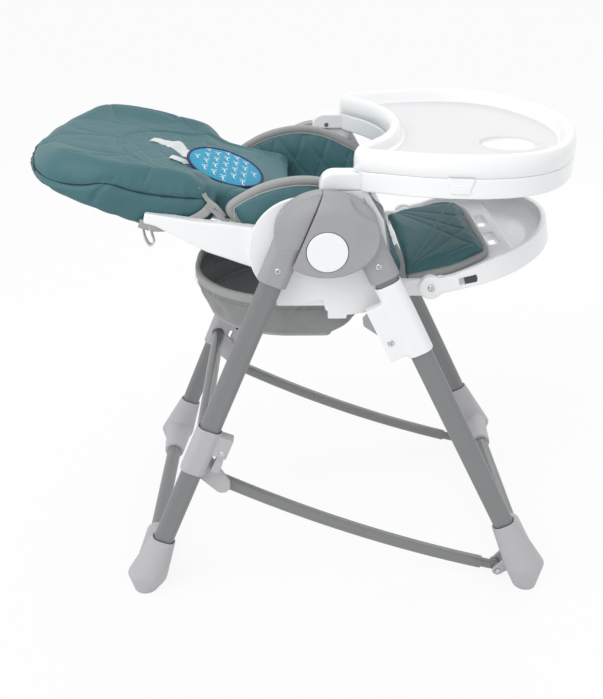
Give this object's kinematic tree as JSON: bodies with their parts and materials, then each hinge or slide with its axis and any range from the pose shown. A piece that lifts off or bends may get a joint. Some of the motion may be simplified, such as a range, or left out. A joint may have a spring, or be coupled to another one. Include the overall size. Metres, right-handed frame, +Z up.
{
  "type": "baby high chair",
  "caption": "Folding high chair for a small child, with a reclining padded seat set at several heights on an X-frame, a tilting footrest, a removable tray and a basket below.",
  "frame": {"origin": "on the floor under the middle of the overall box", "axes": "+X to the front of the chair, +Y to the sitting child's left, +Z up"},
  "size_m": [0.9494, 0.588, 0.837],
  "materials": {
    "tube_grey": "satin",
    "bright_tube": "polished",
    "hub_grey": "satin",
    "light_grey": "satin",
    "white_plastic": "gloss",
    "steel": "satin",
    "teal_cover": "soft grain",
    "dark_plastic": "satin",
    "grey_fabric": "woven",
    "webbing": "woven",
    "print_pad": "printed"
  },
  "bodies": {
    "front_frame": {"front_leg_left": "tube_grey", "front_leg_right": "tube_grey", "front_foot_left": "light_grey", "front_foot_right": "light_grey", "front_cross_tube": "tube_grey", "hub_front_left": "hub_grey", "hub_front_right": "hub_grey", "hub_bolts": "steel", "front_sleeve_screws": "steel", "stay_pins": "steel"},
    "rear_frame": {"rear_leg_left": "tube_grey", "rear_leg_right": "tube_grey", "rear_foot_left": "light_grey", "rear_foot_right": "light_grey", "rear_cross_tube": "tube_grey", "hub_rear_left": "hub_grey", "hub_rear_right": "hub_grey", "rear_sleeve_screws": "steel", "stay_clamp_left": "light_grey", "stay_clamp_right": "light_grey", "clamp_cross_tube": "bright_tube", "clamp_rivets": "steel"},
    "seat": {"seat_side_left": "white_plastic", "seat_side_right": "white_plastic", "seat_pan": "white_plastic", "seat_slider_left": "white_plastic", "seat_slider_right": "white_plastic", "seat_screws": "steel", "recline_pins": "steel", "armrest_left": "white_plastic", "armrest_right": "white_plastic", "seat_cushion": "teal_cover", "seat_wing_left": "teal_cover", "seat_wing_right": "teal_cover", "cover_clips": "dark_plastic", "crotch_strap": "webbing", "buckle": "dark_plastic", "basket": "grey_fabric", "basket_hoop": "steel"},
    "backrest": {"back_shell": "white_plastic", "back_cover": "teal_cover", "shoulder_straps": "webbing", "oval_pad": "print_pad", "cover_tab": "grey_fabric"},
    "recline_handle": {"recline_handle": "white_plastic"},
    "footrest": {"footrest": "white_plastic", "legrest_pad": "teal_cover"},
    "tray_carrier": {"tray_base": "white_plastic"},
    "tray": {"tray_top": "white_plastic"},
    "hub_button_left": {"hub_button_left": "white_plastic"},
    "clamp_latch_left": {"clamp_latch_left": "light_grey"},
    "side_stay_left": {"side_stay_left": "tube_grey"},
    "height_lever_left": {"height_lever_left": "hub_grey"},
    "footrest_button_left": {"footrest_button_left": "dark_plastic"},
    "hub_button_right": {"hub_button_right": "white_plastic"},
    "clamp_latch_right": {"clamp_latch_right": "light_grey"},
    "side_stay_right": {"side_stay_right": "tube_grey"},
    "height_lever_right": {"height_lever_right": "hub_grey"},
    "footrest_button_right": {"footrest_button_right": "dark_plastic"}
  },
  "joints": [
    {"name": "frame_fold", "type": "hinge", "parent": "front_frame", "child": "rear_frame", "pos_m": [0.03668, 0, 0.688], "axis": [0, 1, 0], "range_deg": [-40, 0]},
    {"name": "seat_height", "type": "slide", "parent": "front_frame", "child": "seat", "axis": [0.4415, 0, -0.8973], "range_m": [0, 0.2]},
    {"name": "back_recline", "type": "hinge", "parent": "seat", "child": "backrest", "pos_m": [0.00068, 0, 0.671], "axis": [0, 1, 0], "range_deg": [0, 60]},
    {"name": "recline_squeeze", "type": "hinge", "parent": "backrest", "child": "recline_handle", "pos_m": [-0.11227, 0, 0.67963], "axis": [0, 1, 0], "range_deg": [0, 8], "stiffness_Nm_per_rad": 1.5, "springref_deg": -8.59},
    {"name": "footrest_tilt", "type": "hinge", "parent": "seat", "child": "footrest", "pos_m": [0.21668, 0, 0.594], "axis": [0, 1, 0], "range_deg": [0, 75]},
    {"name": "tray_slide", "type": "slide", "parent": "seat", "child": "tray_carrier", "axis": [1, 0, 0], "range_m": [0, 0.06]},
    {"name": "tray_lift", "type": "slide", "parent": "tray_carrier", "child": "tray", "axis": [0, 0, 1], "range_m": [0, 0.08]},
    {"name": "hub_button_left", "type": "slide", "parent": "front_frame", "child": "hub_button_left", "axis": [0, -1, 0], "range_m": [0, 0.004], "stiffness_N_per_m": 800, "springref_m": -0.002},
    {"name": "clamp_latch_left", "type": "hinge", "parent": "rear_frame", "child": "clamp_latch_left", "pos_m": [-0.14368, 0, 0.3069], "axis": [0, 1, 0], "range_deg": [-12, 0], "stiffness_Nm_per_rad": 0.4, "springref_deg": 11.46},
    {"name": "side_stay_left", "type": "hinge", "parent": "front_frame", "child": "side_stay_left", "pos_m": [0.37668, 0, 0.02], "axis": [0, 1, 0], "range_deg": [-14, 0]},
    {"name": "height_lever_left", "type": "hinge", "parent": "seat", "child": "height_lever_left", "pos_m": [0.14431, 0, 0.52363], "axis": [0, 1, 0], "range_deg": [0, 12], "stiffness_Nm_per_rad": 0.5, "springref_deg": -11.46},
    {"name": "footrest_button_left", "type": "slide", "parent": "footrest", "child": "footrest_button_left", "axis": [-0.9744, 0, -0.225], "range_m": [0, 0.008], "stiffness_N_per_m": 300, "springref_m": -0.003},
    {"name": "hub_button_right", "type": "slide", "parent": "front_frame", "child": "hub_button_right", "axis": [0, 1, 0], "range_m": [0, 0.004], "stiffness_N_per_m": 800, "springref_m": -0.002},
    {"name": "clamp_latch_right", "type": "hinge", "parent": "rear_frame", "child": "clamp_latch_right", "pos_m": [-0.14368, 0, 0.3069], "axis": [0, 1, 0], "range_deg": [-12, 0], "stiffness_Nm_per_rad": 0.4, "springref_deg": 11.46},
    {"name": "side_stay_right", "type": "hinge", "parent": "front_frame", "child": "side_stay_right", "pos_m": [0.37668, 0, 0.02], "axis": [0, 1, 0], "range_deg": [-14, 0]},
    {"name": "height_lever_right", "type": "hinge", "parent": "seat", "child": "height_lever_right", "pos_m": [0.14431, 0, 0.52363], "axis": [0, 1, 0], "range_deg": [0, 12], "stiffness_Nm_per_rad": 0.5, "springref_deg": -11.46},
    {"name": "footrest_button_right", "type": "slide", "parent": "footrest", "child": "footrest_button_right", "axis": [-0.9744, 0, -0.225], "range_m": [0, 0.008], "stiffness_N_per_m": 300, "springref_m": -0.003}
  ]
}
